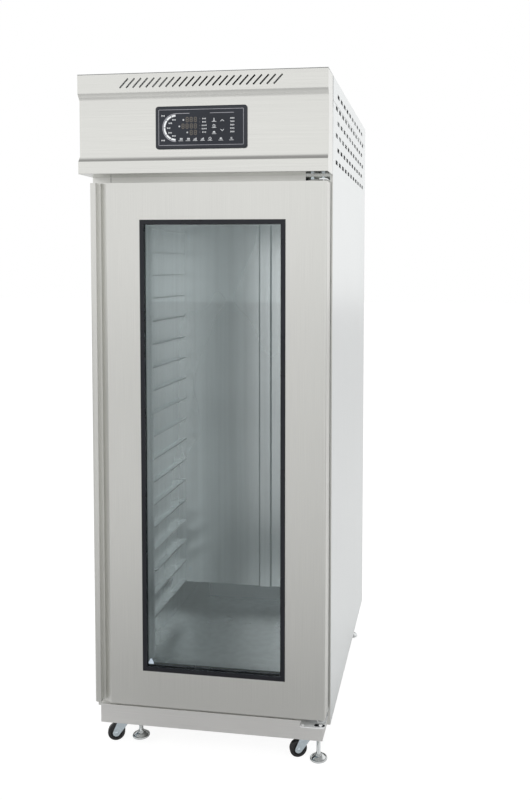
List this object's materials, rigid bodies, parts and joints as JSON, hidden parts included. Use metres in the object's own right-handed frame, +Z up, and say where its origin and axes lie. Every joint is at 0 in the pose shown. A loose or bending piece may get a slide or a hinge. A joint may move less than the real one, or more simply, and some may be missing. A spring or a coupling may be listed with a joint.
{
  "type": "retarder proofer",
  "caption": "Upright one-door retarder proofer: stainless cabinet with glazed door, tray runners, vented header with key panel, on castors with levelling feet.",
  "frame": {"origin": "on the floor, below the centre of the whole machine", "axes": "+Z up, -Y towards the front, +X to the right of a person facing the door"},
  "size_m": [0.7, 0.97, 1.94],
  "materials": {
    "stainless": "fine vertical brushed grain",
    "zinc_sheet": "galvanised, dull",
    "chamber_steel": "smooth, semi-bright",
    "foam": "rigid foam",
    "black_trim": "satin",
    "glass": "clear, faint green tint",
    "bezel_plastic": "fine grain",
    "overlay_film": "satin film",
    "key_film": "satin film",
    "seal_rubber": "soft, matt",
    "wheel_rubber": "smooth, matt",
    "zinc_plate": "bright zinc",
    "chrome": "polished",
    "fin_aluminium": "mill finish",
    "black_enamel": "gloss enamel",
    "fan_plastic": "moulded"
  },
  "bodies": {
    "cabinet": {"outer_shell": "stainless", "end_plates": "zinc_sheet", "front_frame": "stainless", "cabinet_foam": "foam", "inner_liner": "chamber_steel", "tray_runners_left": "chamber_steel", "tray_runners_right": "chamber_steel", "floor_pan": "chamber_steel", "duct_panel": "chamber_steel", "evaporator": "fin_aluminium", "fan_motor": "zinc_sheet", "humidifier": "chamber_steel", "plinth": "zinc_sheet", "castor_plates": "zinc_plate", "header_fascia": "stainless", "top_cover": "stainless", "header_wrap": "stainless", "compressor": "black_enamel", "condenser": "fin_aluminium", "fan_shroud": "zinc_sheet", "control_box": "black_trim", "power_inlet": "black_trim", "panel_bezel": "bezel_plastic", "panel_overlay": "overlay_film", "hinge_brackets": "chrome", "fasteners": "zinc_plate"},
    "door": {"door_skin": "stainless", "door_grip": "stainless", "door_liner": "chamber_steel", "door_foam": "foam", "door_gasket": "seal_rubber", "window_frame": "black_trim", "glass_outer": "glass", "glass_inner": "glass"},
    "castor_front_right": {"castor_fork_front_right": "zinc_plate"},
    "wheel_front_right": {"castor_wheel_front_right": "wheel_rubber"},
    "foot_front_right": {"levelling_foot_front_right": "chrome"},
    "castor_front_left": {"castor_fork_front_left": "zinc_plate"},
    "wheel_front_left": {"castor_wheel_front_left": "wheel_rubber"},
    "foot_front_left": {"levelling_foot_front_left": "chrome"},
    "castor_rear_right": {"castor_fork_rear_right": "zinc_plate"},
    "wheel_rear_right": {"castor_wheel_rear_right": "wheel_rubber"},
    "foot_rear_right": {"levelling_foot_rear_right": "chrome"},
    "castor_rear_left": {"castor_fork_rear_left": "zinc_plate"},
    "wheel_rear_left": {"castor_wheel_rear_left": "wheel_rubber"},
    "foot_rear_left": {"levelling_foot_rear_left": "chrome"},
    "key_01": {"key_01": "key_film"},
    "key_02": {"key_02": "key_film"},
    "key_03": {"key_03": "key_film"},
    "key_04": {"key_04": "key_film"},
    "key_05": {"key_05": "key_film"},
    "key_06": {"key_06": "key_film"},
    "key_07": {"key_07": "key_film"},
    "key_08": {"key_08": "key_film"},
    "key_09": {"key_09": "key_film"},
    "key_10": {"key_10": "key_film"},
    "key_11": {"key_11": "key_film"},
    "key_12": {"key_12": "key_film"},
    "evaporator_rotor": {"evaporator_fan": "fan_plastic"},
    "condenser_rotor": {"condenser_fan": "fan_plastic"}
  },
  "joints": [
    {"name": "door_hinge", "type": "hinge", "parent": "cabinet", "child": "door", "pos_m": [0.33, -0.445, 0.9], "axis": [0, 0, 1], "range_deg": [0, 115]},
    {"name": "castor_swivel_front_right", "type": "hinge", "parent": "cabinet", "child": "castor_front_right", "pos_m": [0.276, -0.378, 0.06], "axis": [0, 0, 1], "range_deg": [-140, 68]},
    {"name": "wheel_spin_front_right", "type": "hinge", "parent": "castor_front_right", "child": "wheel_front_right", "pos_m": [0.25533, -0.38552, 0.025], "axis": [-0.342, 0.9397, 0], "continuous": true},
    {"name": "foot_screw_front_right", "type": "slide", "parent": "cabinet", "child": "foot_front_right", "axis": [0, 0, 1], "range_m": [-0.01, 0.024]},
    {"name": "castor_swivel_front_left", "type": "hinge", "parent": "cabinet", "child": "castor_front_left", "pos_m": [-0.276, -0.378, 0.06], "axis": [0, 0, 1], "range_deg": [-140, 68]},
    {"name": "wheel_spin_front_left", "type": "hinge", "parent": "castor_front_left", "child": "wheel_front_left", "pos_m": [-0.29667, -0.38552, 0.025], "axis": [-0.342, 0.9397, 0], "continuous": true},
    {"name": "foot_screw_front_left", "type": "slide", "parent": "cabinet", "child": "foot_front_left", "axis": [0, 0, 1], "range_m": [-0.031, 0.004]},
    {"name": "castor_swivel_rear_right", "type": "hinge", "parent": "cabinet", "child": "castor_rear_right", "pos_m": [0.276, 0.408, 0.06], "axis": [0, 0, 1], "range_deg": [-140, 68]},
    {"name": "wheel_spin_rear_right", "type": "hinge", "parent": "castor_rear_right", "child": "wheel_rear_right", "pos_m": [0.25533, 0.40048, 0.025], "axis": [-0.342, 0.9397, 0], "continuous": true},
    {"name": "foot_screw_rear_right", "type": "slide", "parent": "cabinet", "child": "foot_rear_right", "axis": [0, 0, 1], "range_m": [-0.01, 0.024]},
    {"name": "castor_swivel_rear_left", "type": "hinge", "parent": "cabinet", "child": "castor_rear_left", "pos_m": [-0.276, 0.408, 0.06], "axis": [0, 0, 1], "range_deg": [-140, 68]},
    {"name": "wheel_spin_rear_left", "type": "hinge", "parent": "castor_rear_left", "child": "wheel_rear_left", "pos_m": [-0.29667, 0.40048, 0.025], "axis": [-0.342, 0.9397, 0], "continuous": true},
    {"name": "foot_screw_rear_left", "type": "slide", "parent": "cabinet", "child": "foot_rear_left", "axis": [0, 0, 1], "range_m": [-0.031, 0.004]},
    {"name": "key_01_press", "type": "slide", "parent": "cabinet", "child": "key_01", "axis": [0, 1, 0], "range_m": [0, 0.0004], "stiffness_N_per_m": 800},
    {"name": "key_02_press", "type": "slide", "parent": "cabinet", "child": "key_02", "axis": [0, 1, 0], "range_m": [0, 0.0004], "stiffness_N_per_m": 800},
    {"name": "key_03_press", "type": "slide", "parent": "cabinet", "child": "key_03", "axis": [0, 1, 0], "range_m": [0, 0.0004], "stiffness_N_per_m": 800},
    {"name": "key_04_press", "type": "slide", "parent": "cabinet", "child": "key_04", "axis": [0, 1, 0], "range_m": [0, 0.0004], "stiffness_N_per_m": 800},
    {"name": "key_05_press", "type": "slide", "parent": "cabinet", "child": "key_05", "axis": [0, 1, 0], "range_m": [0, 0.0004], "stiffness_N_per_m": 800},
    {"name": "key_06_press", "type": "slide", "parent": "cabinet", "child": "key_06", "axis": [0, 1, 0], "range_m": [0, 0.0004], "stiffness_N_per_m": 800},
    {"name": "key_07_press", "type": "slide", "parent": "cabinet", "child": "key_07", "axis": [0, 1, 0], "range_m": [0, 0.0004], "stiffness_N_per_m": 800},
    {"name": "key_08_press", "type": "slide", "parent": "cabinet", "child": "key_08", "axis": [0, 1, 0], "range_m": [0, 0.0004], "stiffness_N_per_m": 800},
    {"name": "key_09_press", "type": "slide", "parent": "cabinet", "child": "key_09", "axis": [0, 1, 0], "range_m": [0, 0.0004], "stiffness_N_per_m": 800},
    {"name": "key_10_press", "type": "slide", "parent": "cabinet", "child": "key_10", "axis": [0, 1, 0], "range_m": [0, 0.0004], "stiffness_N_per_m": 800},
    {"name": "key_11_press", "type": "slide", "parent": "cabinet", "child": "key_11", "axis": [0, 1, 0], "range_m": [0, 0.0004], "stiffness_N_per_m": 800},
    {"name": "key_12_press", "type": "slide", "parent": "cabinet", "child": "key_12", "axis": [0, 1, 0], "range_m": [0, 0.0004], "stiffness_N_per_m": 800},
    {"name": "evaporator_fan_spin", "type": "hinge", "parent": "cabinet", "child": "evaporator_rotor", "pos_m": [0, 0.3231, 1.45], "axis": [0, 0, 1], "continuous": true},
    {"name": "condenser_fan_spin", "type": "hinge", "parent": "cabinet", "child": "condenser_rotor", "pos_m": [0, -0.143, 1.796], "axis": [0, 1, 0], "continuous": true}
  ]
}
